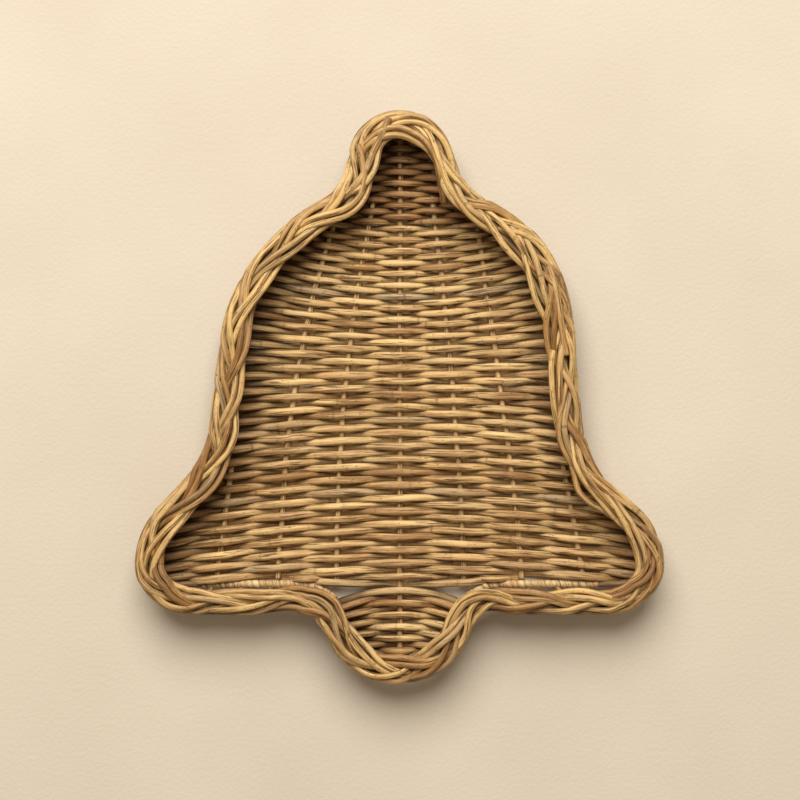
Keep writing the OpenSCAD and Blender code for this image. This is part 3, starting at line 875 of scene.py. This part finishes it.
def hem_share(t):
    """1 along the hem, where the rim is narrower, and 0 elsewhere."""
    near, far = loop.half - HEM_NEAR, loop.half - HEM_FAR - HEM_LEN
    share = 0
    for a, b in ((far, near), (loop.length - near, loop.length - far)):
        share = share + np.clip((t - a) / HEM_RAMP, 0, 1) * np.clip((b - t) / HEM_RAMP, 0, 1)
    return share


def rim_width(t, u):
    """How wide the rim is at distances t, as a share, on the side of its middle line where u lies."""
    inner, outer = 1.0, 1.0
    for at, span, draw_in, draw_out in RIM_DRAWS:
        near = bell_curve(t, at % loop.length, span, 1)
        inner, outer = inner - draw_in * near, outer - draw_out * near
    return np.where(u < 0, inner, outer)


def rim_out(t):
    """How far the whole rim lies outside the plait's middle line, in mm."""
    strays = sum(bell_curve(t, loop.half + at, span, out) for at, span, out in NOTCH_STRAYS)
    return HEM_OUT * hem_share(t) + strays


def on_rim(t, u, z, r):
    """Points of a rim rod at distances t, kept inside the rim's outline and under its top."""
    u = np.minimum(u, PLAIT_REACH + PLAIT_R - r)
    u = u * rim_width(t, u) * (1 - HEM_SQUEEZE * hem_share(t)) + rim_out(t)
    plan, _ = loop.at(t, PLAIT_INSET - u)
    return np.column_stack([plan, np.minimum(z, ROD_TOP - r)])


def strand_turn(strand, t):
    """Phase of a strand of the plait along the loop, with an uneven pace."""
    lap = loop.length
    turn = -2 * math.pi * PLAIT_LAPS * t / lap + 2 * math.pi * strand / len(STRANDS)
    return turn + 0.2 * np.sin(2 * math.pi * 3 * t / lap + 1) + 0.12 * np.sin(2 * math.pi * 7 * t / lap)


def plait_path(strand, side, t, r, rng):
    """Middle line of one rod of a strand's pair; side is 1 for the outer rod and -1 for the inner."""
    lap = loop.length
    fade = np.minimum(1, np.minimum(t, lap - t) / 30)
    turn = strand_turn(strand, t) + wave_noise(rng, t, 0.13, (lap / 7, lap / 12)) * fade
    gap = PLAIT_R * (1.02 + 0.16 * np.sin(2 * math.pi * 5 * t / lap + strand + 2 * side))
    s = PLAIT_SWING * (np.cos(turn) - 0.04 * np.cos(3 * turn)) + side * gap
    w = PLAIT_LIFT * np.sin(2 * turn)
    s = s + wave_noise(rng, t, 0.6, (lap / 9, lap / 15, lap / 25)) * fade
    w = w + wave_noise(rng, t, 0.7, (lap / 9, lap / 14, lap / 23)) * fade
    u, z = rolled(s, w)
    return on_rim(t, u, z, r)


def rim_shade(piece, t):
    """Painted shade on the plait where a rod lies low, next to the roll that it is bent over, and less of
    it on each rod's upper side, where the light falls.
    """
    verts = piece.verts[-1]
    middle, out = loop.at(t, np.full(len(t), PLAIT_INSET))
    u = ((verts[:, :2] - middle) * out).sum(axis=1)
    u = (u - rim_out(t)) / (1 - HEM_SQUEEZE * hem_share(t))
    u = u / rim_width(t, u)
    height = np.hypot(u + ROLL_CENTRE, verts[:, 2] - ROLL_Z) - ROLL_R
    # The outside of the hem, which faces away from the lamp, gets the most painted shade.
    hem_shade = 3.2 * hem_share(t) * np.clip((u - 1) / 8, 0, 1)
    crest = np.maximum(piece.grain[-1][:, 1], 0)
    piece.darken(height + 0.6 * crest - hem_shade, -1.4, 3.0)


# The plait is painted lighter towards the crown, which faces the lamp, and darker towards the hem, which
# faces away: by how much, and the height that it starts from.
CROWN_PAINTED_LIGHT, DARK_BELOW = 0.28, -60
PLAIT_SIDES = 14


def build_plait():
    for strand, letter in enumerate(STRANDS):
        for side, where in ((1, "outer"), (-1, "inner")):
            node = f"plait_{letter}_{where}"
            rng = np.random.default_rng([SEED, 600 + 3 * strand + side])
            t = np.arange(0, loop.length, 1.6)
            r = PLAIT_R * rng.uniform(0.93, 1.03)
            path = plait_path(strand, side, t, r * 1.04, rng)
            r = r * (1 + 0.035 * np.sin(2 * math.pi * 4 * t / loop.length + strand + side))
            piece = Piece(node + "_cane")
            tone = rod_tone(rng, t)
            # Painted light and shade: lighter towards the crown, darker towards the hem.
            tone[:, 0] += 0.02 + CROWN_PAINTED_LIGHT * np.maximum(path[:, 1], DARK_BELOW) / TOP_Y
            sweep(piece, path, (0, 0, 1), r, r, tone, rng, closed=True, sides=PLAIT_SIDES)
            rim_shade(piece, np.repeat(t, PLAIT_SIDES))
            piece.build(plait_cane, "rattan_plait", node)


def smooth_path(points, step=1.5):
    """A smooth curve through a few points (Catmull-Rom), at about the given step."""
    p = np.array(points, float)
    p = np.vstack([2 * p[0] - p[1], p, 2 * p[-1] - p[-2]])
    out = []
    for a, b, c, d in zip(p, p[1:], p[2:], p[3:]):
        n = max(2, int(np.linalg.norm(c - b) / step))
        k = np.arange(n)[:, None] / n
        out.append(0.5 * (2 * b + (c - a) * k + (2 * a - 5 * b + 4 * c - d) * k ** 2
                          + (3 * b - a - 3 * c + d) * k ** 3))
    return np.vstack(out + [p[-2:-1]])


def loose_rod(name, points, r, seed, light, *nodes):
    """A length of rod that was added to the plait, with a cut end in sight."""
    rng = np.random.default_rng([SEED, seed])
    path = smooth_path(points)
    s = path_length(path)
    piece = Piece(name)
    tone = rod_tone(rng, s, light, 0.05)
    tone[:, 3] += 0.5 * np.exp(-((s[-1] - s) / 0.5) ** 2)
    section = r * (1 + wave_noise(rng, s, 0.02, (30, 14)))
    sweep(piece, path, (0, 0, 1), section, section, tone, rng, sides=PLAIT_SIDES)
    piece.build(plait_cane, "rattan_plait", *nodes)


def build_loose_rods():
    """Rods that stray from the plait: ends at the crown and on the right side, and a slack loop."""
    loose_rod("plait_tail_cane", [(-7, 201, 38), (3, 201.5, 41), (13.5, 197.5, 42.1), (20.5, 191, 42.2),
                                  (24.8, 182.4, 42.1), (27.4, 173, 41.5), (28.8, 164, 39.5),
                                  (29.8, 155, 35.5), (30.6, 147.6, 30)], 2.65, 700, -0.2, "plait_tail")
    loose_rod("crown_end_cane", [(-30, 162, 35), (-26.5, 172, 40), (-21, 184, 42.2), (-13.5, 199, 42.3),
                                 (-8.3, 210.8, 42.2)], 2.6, 710, -0.38)
    loose_rod("neck_end_cane", [(-37, 143, 35), (-33, 153, 40), (-29, 164, 42.2), (-29.6, 179, 42.3),
                                (-32, 190.5, 41.5)], 2.55, 720, 0.15)
    loose_rod("waist_loop_cane", [(127.5, -35, 31), (131.5, -49, 35.5), (133.8, -59.5, 37.8),
                                  (136.6, -71.5, 38.4), (143.5, -79, 38), (153, -84.5, 35),
                                  (164, -92, 30)], 2.45, 740, 0)
    loose_rod("side_end_cane", [(108, 104, 37), (114, 90, 41), (119.5, 72, 42.4), (123.5, 52, 42.5),
                                (127.6, 31, 42.2)], 2.35, 730, 0.0)


build_ribs()
build_floor()
build_hem_weaver()
build_frame_rod()
build_peel(1, "hem_peel_right")
build_peel(-1, "hem_peel_left")
build_wall()
build_plait()
build_loose_rods()


# ---- Stage, light and camera ----
def build_stage():
    mesh = bpy.data.meshes.new("floor")
    edge, cells, drop = 2.0, 8, 0.0002
    line = np.linspace(-edge, edge, cells + 1)
    verts = [(x, y, -drop) for y in line for x in line]
    faces = [(r * (cells + 1) + c, r * (cells + 1) + c + 1, (r + 1) * (cells + 1) + c + 1,
              (r + 1) * (cells + 1) + c) for r in range(cells) for c in range(cells)]
    mesh.from_pydata(verts, [], faces)
    mesh.materials.append(backdrop())
    floor = bpy.data.objects.new("floor", mesh)
    bpy.context.scene.collection.objects.link(floor)


def area_light(name, place, size, power, colour):
    data = bpy.data.lights.new(name, "AREA")
    data.shape = "DISK"
    data.size = size
    data.energy = power
    data.color = colour
    lamp = bpy.data.objects.new(name, data)
    lamp.location = place
    lamp.rotation_euler = (-lamp.location).to_track_quat("-Z", "Y").to_euler()
    bpy.context.scene.collection.objects.link(lamp)


build_stage()
area_light("key", (-0.22, 1.8, 2.4), 2.5, 113, (1.0, 0.98, 0.95))
world = bpy.data.worlds.new("studio")
world.use_nodes = True
world.node_tree.nodes["Background"].inputs[0].default_value = (0.98, 0.84, 0.67, 1)
world.node_tree.nodes["Background"].inputs[1].default_value = 0.285
bpy.context.scene.world = world
bpy.context.scene.view_settings.view_transform = "Standard"

# The camera looks straight down from 1.6 m above the rim.
VIEW_HEIGHT, VIEW_WIDTH, SENSOR = 1.6, 0.6055, 36.0
camera_data = bpy.data.cameras.new("camera")
camera_data.sensor_width = SENSOR
camera_data.lens = SENSOR * VIEW_HEIGHT / VIEW_WIDTH
camera = bpy.data.objects.new("camera", camera_data)
camera.location = (0, -0.0023, VIEW_HEIGHT + 0.036)
bpy.context.scene.collection.objects.link(camera)
bpy.context.scene.camera = camera
